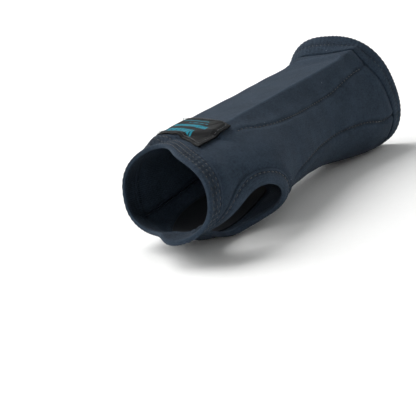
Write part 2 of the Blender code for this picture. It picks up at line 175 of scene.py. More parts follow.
LEAST_LEAN, OUT_OF_REACH, RAYS_AT_ONCE = 0.05, 1.0, 20000
PAD_PRESSED = 0.8  # share of the pad's bulge that is left where it rests
TINY = 1e-6


def hull_reach(directions, angle, y, height, stuffed):
    """The least of support / cos(angle - direction) over the directions, and the direction that gives it.

    The support is the farther of the arm's superellipse and the stay's flat plate, grown by the height.
    """
    middle_x, middle_z = arm_middle(y)
    half, half_height = along(y, STATION_Y, ARM_HALF_WIDTH), arm_top(y) - middle_z
    power = ARM_SQUARENESS / (ARM_SQUARENESS - 1.0)
    cos, sin = np.cos(directions), np.sin(directions)
    wide = (half[:, None] * np.abs(cos)) ** power
    high = (half_height[:, None] * np.abs(sin)) ** power
    support = (wide + high) ** (1.0 / power) + LINING + GAP
    if stuffed:
        plate = STAY_WIDTH / 2.0 * np.abs(cos) - middle_x[:, None] * cos
        support = np.maximum(support, plate + (plate_top(y) - middle_z)[:, None] * sin + GAP)
    lean = np.cos(angle[:, None] - directions)
    grown = (support + height[:, None]) / np.maximum(lean, LEAST_LEAN)
    reach = np.where(lean > LEAST_LEAN, grown, OUT_OF_REACH)
    best = reach.argmin(axis=1)
    picked = np.broadcast_to(directions, reach.shape)[np.arange(len(best)), best]
    return reach.min(axis=1), picked


def surface(y, angle, height, outermost=PANEL, stuffed=True):
    """Points at a height above the panels' inner face, for arrays of y and of angle round the sleeve.

    Each ray from the arm's middle ends on the taut hull of arm and stay, searched coarsely, then finely.
    The pad pushes the hull out, and the floor stops the outermost height and flattens all below it.
    """
    y, angle, height = np.broadcast_arrays(np.asarray(y, float), angle, height)
    shape, y, angle, height = y.shape, y.ravel(), angle.ravel(), height.ravel()
    radius = np.empty_like(y)
    for part in np.array_split(np.arange(len(y)), max(1, len(y) // RAYS_AT_ONCE)):
        _, near = hull_reach(COARSE[None, :], angle[part], y[part], height[part], stuffed)
        fine = near[:, None] + FINE
        radius[part], _ = hull_reach(fine, angle[part], y[part], height[part], stuffed)
    if stuffed:
        radius = radius + PAD_BULGE * np.clip(1.0 - pad_share(y, angle) ** 2, 0.0, 1.0) ** 2
    middle_x, middle_z = arm_middle(y)
    floor_y, floor_z, slope = floor_line()
    lowest = floor_z + slope * (y - floor_y) + np.maximum(outermost - height, 0.0)
    down = np.maximum(-np.sin(angle), TINY)
    radius = np.where(down > TINY, np.minimum(radius, (middle_z - lowest) / down), radius)
    points = np.stack([middle_x + radius * np.cos(angle), y, middle_z + radius * np.sin(angle)], axis=-1)
    return points.reshape(*shape, 3)


def stay_edge(y, side):
    """Angle of the stay's upper edge on the thumb side (1) or on the little finger's (-1)."""
    middle_x, middle_z = arm_middle(y)
    height = np.maximum(plate_top(np.maximum(y, STAY_START)), arm_top(y)) - middle_z
    return np.arctan2(height, side * STAY_WIDTH / 2.0 - middle_x)


def thumb_seam(y):
    return along(y, SEAM_Y, THUMB_SEAM_ANGLE)


def little_seam(y):
    return along(y, SEAM_Y, LITTLE_SEAM_ANGLE)


def thumb_outline(turn, grown):
    """(y, angle) of the thumb hole's edge, grown outwards. A turn of 0 faces the forearm, then dorsally."""
    across = np.where(np.sin(turn) > 0.0, THUMB_HALF_DORSAL, THUMB_HALF_PALMAR) + grown
    y = THUMB_Y + (THUMB_HALF_LENGTH + grown) * np.cos(turn)
    return y, THUMB_ANGLE + across * np.sin(turn) / THUMB_RADIUS


def thumb_share(y, angle):
    """Distance beyond the thumb hole's edge, in metres: below 0 inside the hole."""
    across = (np.mod(angle - THUMB_ANGLE + HALF_TURN, FULL_TURN) - HALF_TURN) * THUMB_RADIUS
    half = np.where(across > 0.0, THUMB_HALF_DORSAL, THUMB_HALF_PALMAR)
    ahead = y - THUMB_Y
    share = np.hypot(ahead / THUMB_HALF_LENGTH, across / half)
    return np.hypot(ahead, across) * (1.0 - 1.0 / np.maximum(share, TINY))


def sleeve_to_world():
    """The pitch is the stay's slide axis, and the place is that of the stay's lower hand-end edge."""
    axis = Vector(frame["joints"][0]["axis"]).normalized()
    low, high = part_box("stay")
    x = (low[0] + high[0]) / 2.0
    y = low[1] - STAY_START * axis.y + (LINING + GAP + STAY_THICKNESS) * axis.z
    z = low[2] - STAY_START * axis.z - (LINING + GAP) * axis.y
    return Matrix.Translation((x, y, z)) @ Matrix.Rotation(math.atan2(axis.z, axis.y), 4, "X")


SLEEVE = np.array(sleeve_to_world())


def length(name, description, default, least=0.0):
    return FloatProperty(name=name, description=description, default=default, min=least, unit="LENGTH")


def tint(name, description, default):
    return FloatVectorProperty(name=name, description=description, default=default, subtype="COLOR_GAMMA")


class SplintSizes(PropertyGroup):
    """Sizes of the cloth's relief and of the sewing."""

    seam_depth: length("Seam depth", "How deep the side seams are drawn in", 0.0011)
    hem_groove: length("Hem groove", "How deep each row of stitching pulls a hem in", 0.0007)
    pocket_depth: length("Pocket seam depth", "How deep the pocket's stitching lies", 0.0006)
    stay_relief: length("Stay relief", "How far the stay's outline stands out of the cloth", 0.0009)
    drape: length("Drape", "Height of the broad folds in the cloth", 0.0004)
    stitch_pitch: length("Stitch pitch", "Distance from one stitch to the next", 0.0029, 0.001)
    stitch_length: length("Stitch length", "Length of one stitch that shows", 0.0023, 0.001)
    thread_width: length("Thread width", "Width of the sewing thread", 0.0005, 0.0002)
    label_curl: length("Label curl", "How far the label's thumb-side end lifts", 0.0005)


class SplintColours(PropertyGroup):
    """Base colours, as a picture editor shows them."""

    knit: tint("Knit", "Blue-black jersey", (0.165, 0.208, 0.256))
    binding: tint("Binding", "Jersey binding round the thumb hole", (0.180, 0.222, 0.270))
    label: tint("Label", "Label's black warp", (0.030, 0.038, 0.048))
    label_bars: tint("Label bars", "Label's teal weft", (0.02, 0.55, 0.64))
    stay: tint("Stay", "Natural polyethylene", (0.82, 0.83, 0.82))


def linear(colour):
    """sRGB, as a hex value such as 0x2A323D or as three shares of 1, to a linear colour with alpha."""
    if isinstance(colour, int):
        colour = [((colour >> shift) & 255) / 255.0 for shift in (16, 8, 0)]
    return (*[c / 12.92 if c <= 0.04045 else ((c + 0.055) / 1.055) ** 2.4 for c in colour], 1.0)


def node(tree, kind, inputs=None, **settings):
    """Adds a shader node. An input is a value or the socket that it is linked from."""
    made = tree.nodes.new("ShaderNode" + kind)
    for key, value in settings.items():
        setattr(made, key, value)
    for key, value in (inputs or {}).items():
        if isinstance(value, bpy.types.NodeSocket):
            tree.links.new(value, made.inputs[key])
        else:
            made.inputs[key].default_value = value
    return made


def new_material(name, **shader):
    """A material with a Principled shader, whose constant values go straight onto its sockets."""
    material = bpy.data.materials.new(name)
    material.use_nodes = True
    principled = material.node_tree.nodes["Principled BSDF"]
    for key, value in shader.items():
        principled.inputs[key.replace("_", " ")].default_value = value
    return material, material.node_tree, principled


def math_node(tree, operation, *values):
    return node(tree, "Math", dict(enumerate(values)), operation=operation).outputs[0]


def product(tree, value, *others):
    for other in others:
        value = math_node(tree, "MULTIPLY", value, other)
    return value


def total(tree, value, *others):
    for other in others:
        value = math_node(tree, "ADD", value, other)
    return value


def object_texture(tree, kind, scale, **inputs):
    """A texture laid out in the object's own metres."""
    place = node(tree, "TexCoord").outputs["Object"]
    return node(tree, kind, {"Vector": place, "Scale": scale, **inputs})


def paint(tree, shader, low, high, factor):
    """Gives the shader a base colour between two colours."""
    mixed = node(tree, "Mix", {"A": low, "B": high, "Factor": factor}, data_type="RGBA")
    tree.links.new(mixed.outputs[2], shader.inputs["Base Color"])


def emboss(tree, shader, height, strength, distance):
    """Tilts the shader's normal by a height."""
    bumped = node(tree, "Bump", {"Height": height, "Strength": strength, "Distance": distance})
    tree.links.new(bumped.outputs[0], shader.inputs["Normal"])


# Lint: cells in a metre, where a speck's edge starts and ends, share of cells left clean, strength
LINT_CELLS, LINT_EDGE, LINT_CLEAN, LINT_STRENGTH = 150.0, (0.030, 0.060), 0.72, 0.55
SHEEN_TINT, LINT_GREY = 0xB4C4DC, 0x8C97A4


def lint_factor(tree):
    """Small pale specks, one in each cell that has any."""
    cells = object_texture(tree, "TexVoronoi", LINT_CELLS, Randomness=1.0)
    start, end = LINT_EDGE
    distance = cells.outputs["Distance"]
    speck = {"Value": distance, "From Min": start, "From Max": end, "To Min": 1.0, "To Max": 0.0}
    red = node(tree, "SeparateColor", {0: cells.outputs["Color"]}).outputs[0]
    some = math_node(tree, "GREATER_THAN", red, LINT_CLEAN)
    return product(tree, node(tree, "MapRange", speck).outputs[0], some, LINT_STRENGTH)


def knit_material(name, colour, wale, course, depth):
    """Cotton and elastane jersey: columns of V-shaped loops that scatter light softly, with pale lint.

    wale and course are the loops' spacing across and along, drawn about a third coarser than the real knit so
    that they show. The slight mottle is the two fibres taking the dye differently.
    """
    material, tree, shader = new_material(name, Roughness=0.9, Sheen_Weight=0.05, Sheen_Roughness=0.38,
                                          Sheen_Tint=linear(SHEEN_TINT), IOR=1.46, Specular_IOR_Level=0.12)
    uv = node(tree, "SeparateXYZ", {0: node(tree, "UVMap", uv_map="cloth").outputs[0]})
    lean = product(tree, math_node(tree, "PINGPONG", uv.outputs[0], wale / 2.0), 1.0 / wale)
    phase = total(tree, product(tree, uv.outputs[1], 1.0 / course), lean)
    loops = math_node(tree, "SINE", product(tree, phase, FULL_TURN))
    fuzz = object_texture(tree, "TexNoise", 1400.0, Detail=3.0, Roughness=0.7)
    height = total(tree, product(tree, loops, 0.35), product(tree, lean, 1.2), fuzz.outputs[0])
    emboss(tree, shader, height, 0.55, depth)
    mottle = object_texture(tree, "TexNoise", 85.0, Detail=4.0, Roughness=0.65)
    grain = object_texture(tree, "TexNoise", 950.0, Detail=2.0, Roughness=0.8)
    # The shade multiplies the dye: random mottle and grain, the loops' crests painted a little lighter as a
    # painted highlight, and the per-point attribute of painted highlight and painted shade
    shade = total(tree, product(tree, mottle.outputs[0], 0.8), -0.05, product(tree, grain.outputs[0], 1.3),
                  product(tree, loops, 0.09), node(tree, "Attribute", attribute_name="painted_shading").outputs["Fac"])
    dyed = node(tree, "Mix", {"Factor": 1.0, "A": linear(colour), "B": shade}, data_type="RGBA",
                blend_type="MULTIPLY")
    paint(tree, shader, dyed.outputs[2], linear(LINT_GREY), lint_factor(tree))
    return material


def thread_material():
    """Spun polyester sewing thread, black, a little shinier than the cloth, with its twist as fine bands."""
    material, tree, shader = new_material("spun_polyester_thread", Roughness=0.62, Sheen_Weight=0.2)
    place = node(tree, "TexCoord").outputs["Object"]
    bands = {"Vector": place, "Scale": 700.0, "Distortion": 2.0}
    twist = node(tree, "TexWave", bands, bands_direction="DIAGONAL").outputs["Fac"]
    # The twist's raised plies are painted lighter than its grooves: a painted highlight
    paint(tree, shader, linear(0x0C0F14), linear(0x1D232B), twist)
    emboss(tree, shader, twist, 0.4, 0.0001)
    return material


def lining_material():
    """Brushed nylon tricot: smooth, nearly black, with a short nap that only shows as a soft sheen."""
    material, tree, shader = new_material("brushed_nylon_tricot", Roughness=0.9, Sheen_Weight=0.04,
                                          Specular_IOR_Level=0.1)
    nap = object_texture(tree, "TexNoise", 900.0, Detail=4.0, Roughness=0.7).outputs[0]
    paint(tree, shader, linear(0x0E1115), linear(0x20252C), nap)
    emboss(tree, shader, nap, 0.5, 0.0002)
    return material


# Each row of teal bars: where it starts and ends up the label, then across it, the bars' spacing, an offset
LABEL_BARS = (
    (0.0030, 0.0078, 0.0150, 0.0400, 0.0030, 3.0),
    (0.0112, 0.0142, 0.0085, 0.0400, 0.0021, 8.0),
    (0.0164, 0.0171, 0.0125, 0.0330, 0.0080, 5.0),
    (0.0194, 0.0204, 0.0150, 0.0400, 0.0014, 1.0),
)
BAR_GAP, PICK_SPACING, END_SPACING = 0.13, 0.0007, 0.0008


def label_material(colours):
    """Damask-woven polyester label: a satin black ground, with teal floats in four rows of uneven bars."""
    material, tree, shader = new_material("damask_woven_label", Roughness=0.62, IOR=1.5,
                                          Specular_IOR_Level=0.08)
    uv = node(tree, "SeparateXYZ", {0: node(tree, "UVMap", uv_map="cloth").outputs[0]})
    u, v = uv.outputs[0], uv.outputs[1]
    bars = None
    for low, high, start, end, pitch, offset in LABEL_BARS:
        spacing = {"W": total(tree, u, offset), "Scale": 1.0 / pitch, "Randomness": 0.7}
        cells = node(tree, "TexVoronoi", spacing, voronoi_dimensions="1D", feature="DISTANCE_TO_EDGE")
        bar = product(tree, math_node(tree, "GREATER_THAN", cells.outputs["Distance"], BAR_GAP),
                      math_node(tree, "GREATER_THAN", u, start), math_node(tree, "LESS_THAN", u, end),
                      math_node(tree, "GREATER_THAN", v, low), math_node(tree, "LESS_THAN", v, high))
        bars = bar if bars is None else math_node(tree, "MAXIMUM", bars, bar)
    picks = math_node(tree, "SINE", product(tree, v, FULL_TURN / PICK_SPACING))
    ends = math_node(tree, "SINE", product(tree, u, FULL_TURN / END_SPACING))
    floats = product(tree, total(tree, product(tree, picks, 0.25), 0.75), bars)
    paint(tree, shader, linear(colours.label), linear(colours.label_bars), floats)
    emboss(tree, shader, product(tree, picks, ends), 0.5, 0.0001)
    return material


def stay_material(colours):
    """Natural polyethylene strip cut from sheet: milky, with faint saw and handling marks along it."""
    material, tree, shader = new_material("natural_polyethylene", Roughness=0.42, IOR=1.51,
                                          Subsurface_Weight=0.15, Subsurface_Radius=(0.002, 0.002, 0.0018))
    place = node(tree, "TexCoord").outputs["Object"]
    drawn = node(tree, "Mapping", {"Vector": place, "Scale": (600.0, 40.0, 600.0)}).outputs[0]
    marks = node(tree, "TexNoise", {"Vector": drawn, "Scale": 1.0, "Detail": 4.0}).outputs[0]
    paint(tree, shader, linear(colours.stay), linear(0xB9BDBA), marks)
    emboss(tree, shader, marks, 0.25, 0.0001)
    return material


def foam_material():
    """Open-cell polyurethane foam, off-white, with small round cells."""
    material, tree, shader = new_material("open_cell_foam", Roughness=0.9)
    cells = object_texture(tree, "TexVoronoi", 700.0).outputs["Distance"]
    # The cells' middles are hollows, and they are painted darker: painted shade in the pores
    paint(tree, shader, linear(0xA7A49A), linear(0xD8D5CB), cells)
    emboss(tree, shader, cells, 0.6, 0.0004)
    return material


def cloth(context, name):
    """The material of that name, made when it is first asked for."""
    colours = context.scene.splint_colours
    makers = {
        "cotton_elastane_jersey": lambda: knit_material(name, colours.knit, 0.0011, 0.0009, 0.0003),
        "jersey_binding": lambda: knit_material(name, colours.binding, 0.0009, 0.0011, 0.0003),
        "spun_polyester_thread": thread_material,
        "brushed_nylon_tricot": lining_material,
        "damask_woven_label": lambda: label_material(colours),
        "natural_polyethylene": lambda: stay_material(colours),
        "open_cell_foam": foam_material,
    }
    return bpy.data.materials.get(name) or makers[name]()


def grid_faces(rows, columns, round_rows=False, round_columns=False):
    """Corner numbers of a grid's quads, as an array, joined up where the grid goes round."""
    index = np.arange(rows * columns).reshape(rows, columns)
    index = np.vstack([index, index[:1]]) if round_rows else index
    index = np.hstack([index, index[:, :1]]) if round_columns else index
    corners = (index[:-1, :-1], index[1:, :-1], index[1:, 1:], index[:-1, 1:])
    return np.stack(corners, axis=-1).reshape(-1, 4)


def facing_out(points, faces):
    """Turns the quads of a closed shell round if its volume comes out negative."""
    a, b, c, d = (points[faces[:, k]] for k in range(4))
    volume = (a * np.cross(b, c)).sum() + (a * np.cross(c, d)).sum()
    return faces if volume > 0.0 else faces[:, ::-1]


def new_piece(context, name, points, faces, material, body="sleeve", uv=None, painted_shading=None):
    """An object at the origin, with points given in the sleeve frame, that rides on a body."""
    points = points.reshape(-1, 3) @ SLEEVE[:3, :3].T + SLEEVE[:3, 3]
    mesh = bpy.data.meshes.new(name)
    mesh.from_pydata(points.tolist(), [], faces if isinstance(faces, list) else faces.tolist())
    mesh.shade_smooth()
    if uv is not None:
        corner = np.empty(len(mesh.loops), np.int32)
        mesh.loops.foreach_get("vertex_index", corner)
        flat = uv.reshape(-1, 2)[corner].astype(np.float32)
        mesh.uv_layers.new(name="cloth").data.foreach_set("uv", flat.ravel())
    # A per-point attribute of painted shading: above 0 a painted highlight, below 0 painted shade
    values = np.zeros(len(points)) if painted_shading is None else painted_shading.ravel()
    mesh.attributes.new("painted_shading", "FLOAT", "POINT").data.foreach_set("value", values.astype(np.float32))
    piece = bpy.data.objects.new(name, mesh)
    mesh.materials.append(cloth(context, material))
    context.scene.collection.objects.link(piece)
    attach(piece, body)
    return piece


def thicken(piece, thickness):
    """Gives a sheet of quads a wall on its inner side."""
    wall = piece.modifiers.new("thickness", "SOLIDIFY")
    wall.thickness = thickness
    wall.offset = -1.0


WAVES, WAVE_LENGTHS, WAVE_HEADING, WAVE_SPREAD, WAVE_SIZES = 7, (0.018, 0.060), 0.35, 0.55, (0.4, 1.0)
DRAPE_SEED = 11


def rippled(y, arc):
    """Broad uneven folds of height 1: a sum of plane waves, mostly across the sleeve's length."""
    draw = np.random.default_rng(DRAPE_SEED)
    lengths, headings = draw.uniform(*WAVE_LENGTHS, WAVES), draw.normal(WAVE_HEADING, WAVE_SPREAD, WAVES)
    starts, sizes = draw.uniform(0.0, FULL_TURN, WAVES), draw.uniform(*WAVE_SIZES, WAVES)
    height = np.zeros_like(y)
    for wave_length, heading, start, size in zip(lengths, headings, starts, sizes):
        travel = y * math.cos(heading) + arc * math.sin(heading)
        height = height + size * np.sin(FULL_TURN * travel / wave_length + start)
    return height / WAVES


def stay_distance(x, y):
    """Distance outside the stay's rounded rectangle, and below 0 inside it."""
    beyond_x = np.abs(x) - STAY_WIDTH / 2.0 + STAY_CORNER
    beyond_y = np.abs(y - (STAY_START + STAY_END) / 2.0) - (STAY_END - STAY_START) / 2.0 + STAY_CORNER
    outside = np.hypot(np.maximum(beyond_x, 0.0), np.maximum(beyond_y, 0.0))
    return outside + np.minimum(np.maximum(beyond_x, beyond_y), 0.0) - STAY_CORNER


def pocket_line(y, side):
    """Angle of the pocket's stitching on the thumb's side (1) or on the little finger's (-1)."""
    return HALF_TURN / 2.0 + side * (along(y, POCKET_Y, POCKET_ANGLE) - HALF_TURN / 2.0)


def label_end(angle):
    return hand_hem_edge(angle) + LABEL_MARGIN + LABEL_HEIGHT


# Depth and width of the groove beside a hem and beside the binding, and width of the other grooves
EDGE_GROOVE = (0.0006, 0.0013)
SEAM_GROOVE_WIDTH, POCKET_GROOVE_WIDTH, PAD_GROOVE = 0.0011, 0.0010, (0.0006, 0.0011)
# Height, distance from the groove and width of the welt along each
SEAM_WELT, HEM_WELT, BINDING_WELT, POCKET_WELT = (
    (0.00035, 0.0027, 0.0018), (0.0003, 0.0040, 0.0025), (0.00025, 0.0035, 0.0022), (0.0002, 0.0028, 0.0020))
PUCKER = (0.00006, 0.0026, 0.0020)
PUCKER_LENGTH, PUCKER_DRIFT = 0.0061, 0.007
# Over the stay: the height in which its relief fades in, how steeply and how far the cloth sinks beside it,
# the share of the relief that shows away from its forearm end, and where that end's stronger relief starts
STAY_FADE, STAY_SHOULDER, STAY_SINK_REACH, STAY_FAINT = 0.012, 0.0016, 0.009, 0.35
STAY_BOLD_START, STAY_BOLD_RAMP = 0.012, 0.010
LABEL_CLEAR, LABEL_RAMP, STITCH_PULL = 0.001, 0.004, 0.25


def welt(distance, shape):
    height, offset, width = shape
    return height * bump(distance - offset, width)


def cloth_relief(sizes, y, angle, points):
    """Height of the cloth above its taut shape, from seams, hems, the stay, the pocket and its drape."""
    middle_x, middle_z = arm_middle(y)
    radius = np.hypot(points[..., 0] - middle_x, points[..., 2] - middle_z)
    relief = sizes.drape * rippled(y, angle * radius)
    pucker = np.sin(FULL_TURN * y / PUCKER_LENGTH + 2.0 * np.sin(y / PUCKER_DRIFT))
    for seam in (thumb_seam, little_seam):
        off = (np.mod(angle - seam(y) + HALF_TURN, FULL_TURN) - HALF_TURN) * radius
        relief = relief - sizes.seam_depth * bump(off, SEAM_GROOVE_WIDTH) + welt(np.abs(off), SEAM_WELT)
        relief = relief + pucker * welt(np.abs(off), PUCKER)
    hole = thumb_share(y, angle) - BINDING_WIDTH
    hems = y - hand_hem_edge(angle), forearm_hem_edge(angle) - y
    edges = *((hem, HEM_WELT) for hem in hems), (hole, BINDING_WELT)
    for edge, beside in edges:
        relief = relief - EDGE_GROOVE[0] * bump(edge, EDGE_GROOVE[1]) + welt(edge, beside)
    stay = stay_distance(points[..., 0], y)
    above = smooth_step((points[..., 2] - middle_z) / STAY_FADE)
    near_end = smooth_step((y - STAY_END + STAY_BOLD_START) / STAY_BOLD_RAMP)
    sunk = smooth_step(stay / STAY_SHOULDER) * np.exp(-np.maximum(stay, 0.0) / STAY_SINK_REACH)
    relief = relief - above * sizes.stay_relief * (STAY_FAINT + (1.0 - STAY_FAINT) * near_end) * sunk
    open_cloth = smooth_step((y - label_end(angle) - LABEL_CLEAR) / LABEL_RAMP)
    stitch = 1.0 + STITCH_PULL * np.cos(FULL_TURN * y / sizes.stitch_pitch)
    for side in (1.0, -1.0):
        off = (angle - pocket_line(y, side)) * radius
        groove = sizes.pocket_depth * stitch * bump(off, POCKET_GROOVE_WIDTH)
        relief = relief + (welt(np.abs(off), POCKET_WELT) - groove) * open_cloth
    pad = (pad_share(y, angle) - 1.0) * (PAD_HALF_LENGTH + PAD_HALF_WIDTH) / 2.0
    return relief - PAD_GROOVE[0] * bump(pad, PAD_GROOVE[1])


PANEL_ROWS, PANEL_TUCK, BINDING_TUCK = 230, 0.004, 0.45
# Strength of the painted highlight along the stay's ridge, strength of the painted shade in grooves and
# hollows, and the relief depth at which that shade is full
PAINTED_HIGHLIGHT_ON_STAY, PAINTED_SHADE_IN_GROOVES, PAINTED_SHADE_DEPTH = 0.22, 0.35, 0.001
# y and the angle at a hem depend on each other, and this many rounds settle them
ROUNDS, FIRST_Y = 8, 0.1


def panel_piece(context, name, stops, counts):
    """A knit panel: y from under one hem to under the other, and angle in stretches from stop to stop.

    Height is the taut sleeve's plus cloth_relief's. Quads well inside the thumb hole's binding are left out.
    """
    sizes = context.scene.splint_sizes
    piece_of = np.repeat(np.arange(len(counts)), counts)
    within = np.concatenate([np.linspace(0.0, 1.0, count, endpoint=False) for count in counts])
    piece_of, within = np.append(piece_of, len(counts) - 1), np.append(within, 1.0)
    share, pick = np.linspace(0.0, 1.0, PANEL_ROWS)[:, None], np.arange(len(piece_of))
    y = np.full((PANEL_ROWS, len(piece_of)), FIRST_Y)
    for _ in range(ROUNDS):
        angles = np.stack(stops(y))
        start, end = angles[piece_of, :, pick].T, angles[piece_of + 1, :, pick].T
        angle = start + (end - start) * within
        first, last = hand_hem_edge(angle) - PANEL_TUCK, forearm_hem_edge(angle) + PANEL_TUCK
        y = first + share * (last - first)
    taut = surface(y, angle, PANEL)
    relief = cloth_relief(sizes, y, angle, taut)
    points = surface(y, angle, PANEL + relief)
    faces = grid_faces(*y.shape)
    kept = (thumb_share(y, angle).ravel()[faces] > BINDING_WIDTH * BINDING_TUCK).all(axis=1)
    steps = np.linalg.norm(np.diff(taut, axis=1), axis=2)
    across = np.hstack([np.zeros((PANEL_ROWS, 1)), np.cumsum(steps, axis=1)])
    across = across - across[:, len(pick) // 2 : len(pick) // 2 + 1]
    # Painted shading: a painted highlight along the stay's ridge on the back of the hand, less painted shade
    # wherever the cloth sinks below its taut shape, in seams, hem grooves, beside the stay and in the drape's
    # hollows
    on_back = smooth_step((points[..., 2] + 0.02) / 0.01)
    stay_ridge_highlight = bump(stay_distance(points[..., 0], y), STAY_SHOULDER) * on_back
    painted_shading = PAINTED_HIGHLIGHT_ON_STAY * stay_ridge_highlight - PAINTED_SHADE_IN_GROOVES * np.clip(-relief / PAINTED_SHADE_DEPTH, 0.0, 1.0)
    piece = new_piece(context, name, points, faces[kept], "cotton_elastane_jersey",
                      uv=np.stack([across, y], axis=-1), painted_shading=painted_shading)
    thicken(piece, PANEL)
    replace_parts(piece, name.replace("knit", "panel"))


def dorsal_stops(y):
    return [thumb_seam(y), stay_edge(y, 1), stay_edge(y, -1), little_seam(y)]


def palmar_stops(y):
    return [little_seam(y), thumb_seam(y) + FULL_TURN]


def make_panels(context):
    """Makes the dorsal and the palmar knit panel, which meet in a sunk seam on each side."""
    panel_piece(context, "dorsal_knit", dorsal_stops, (60, 46, 60))
    panel_piece(context, "palmar_knit", palmar_stops, (110,))


BAND_SQUARENESS, BAND_SIDES, BAND_GROOVE_WIDTH, BAND_CROWN = 5.0, 64, 0.0009, 0.0002


def squared(t):
    """cos and sin of t pushed out towards a square with rounded corners."""
    cos, sin = np.cos(t), np.sin(t)
    power = 2.0 / BAND_SQUARENESS
    return np.sign(cos) * np.abs(cos) ** power, np.sign(sin) * np.abs(sin) ** power


def band_section(sizes, width, rows):
    """(distance from the rim, height) round a folded band: a rounded oblong that dips at each row."""
    cos, sin = squared(np.linspace(0.0, FULL_TURN, BAND_SIDES, endpoint=False))
    distance = width * (0.5 + 0.5 * cos)
    low, high = -HEM_INSIDE, PANEL + HEM_PROUD
    height = low + (high - low) * (0.5 + 0.5 * sin)
    outer = np.clip(sin, 0.0, 1.0)
    for row in rows:
        height = height - sizes.hem_groove * bump(distance - row, BAND_GROOVE_WIDTH) * outer
    return distance, height + BAND_CROWN * outer * bump(distance - width / 2.0, width / 3.0)


def band_uv(points, distance):
    """Metres along the band and across it."""
    steps = np.linalg.norm(np.diff(points[:, 0], axis=0), axis=1)
    run = np.concatenate([[0.0], np.cumsum(steps)])[:, None]
    return np.stack(np.broadcast_arrays(run, distance[None, :]), axis=-1)


RIPPLE, RIPPLE_COUNT, RIPPLE_SWAY, RIPPLE_SWAY_COUNT = 0.00012, 83.0, 3.0, 5.0
ROW_SHADE_WIDTH = 0.0008


def rim_band(context, name, rim, inward, rows):
    """A hem: its section carried round the rim, at y = the rim's y plus or minus the distance from it."""
    sizes = context.scene.splint_sizes
    angle = np.linspace(0.0, FULL_TURN, 420, endpoint=False)[:, None]
    distance, height = band_section(sizes, HEM_WIDTH, rows)
    y = rim_y(rim, angle) + inward * distance
    phase = angle * RIPPLE_COUNT + RIPPLE_SWAY * np.sin(angle * RIPPLE_SWAY_COUNT)
    ripple = RIPPLE * np.sin(phase) * np.clip(height / PANEL, 0.0, 1.0)
    points = surface(y, angle, height + ripple, PANEL + HEM_PROUD)
    # Painted shade along each row of stitching
    painted_shading = -0.4 * sum(bump(distance - row, ROW_SHADE_WIDTH) for row in rows) * np.ones_like(angle)
    faces = facing_out(points.reshape(-1, 3), grid_faces(*points.shape[:2], True, True))
    return new_piece(context, name, points, faces, "cotton_elastane_jersey",
                     uv=band_uv(points, distance), painted_shading=painted_shading)


HAND_ROWS, FOREARM_ROWS, BINDING_ROWS = (0.0027, 0.0053, 0.0079), (0.0054,), (0.0056,)


def make_hems(context):
    """Makes the folded hems round the hand opening and the forearm opening."""
    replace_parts(rim_band(context, "hand_hem_fold", HAND_RIM, 1.0, HAND_ROWS), "hand_hem")
    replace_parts(rim_band(context, "forearm_hem_fold", FOREARM_RIM, -1.0, FOREARM_ROWS), "forearm_hem")


def make_binding(context):
    """Makes the binding that is folded over the thumb hole's edge."""
    sizes = context.scene.splint_sizes
    turn = np.linspace(0.0, FULL_TURN, 300, endpoint=False)[:, None]
    distance, height = band_section(sizes, BINDING_WIDTH, BINDING_ROWS)
    y, angle = thumb_outline(turn, distance)
    points = surface(y, angle, height * np.ones_like(turn), PANEL + HEM_PROUD)
    faces = facing_out(points.reshape(-1, 3), grid_faces(*points.shape[:2], True, True))
    # Painted shade along the row of stitching
    painted_shading = -0.35 * bump(distance - BINDING_ROWS[0], ROW_SHADE_WIDTH) * np.ones_like(turn)
    piece = new_piece(context, "thumb_hole_fold", points, faces, "jersey_binding",
                      uv=band_uv(points, distance), painted_shading=painted_shading)
    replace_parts(piece, "thumb_hole_binding")


# A stitch is a rod of so many rings of so many sides. Its bite is how deep its ends dive
STITCH_RINGS, THREAD_SIDES, BITE, THREAD_FLATNESS = 7, 6, 0.0004, 0.8


def unit(vectors):
    return vectors / np.linalg.norm(vectors, axis=-1, keepdims=True)


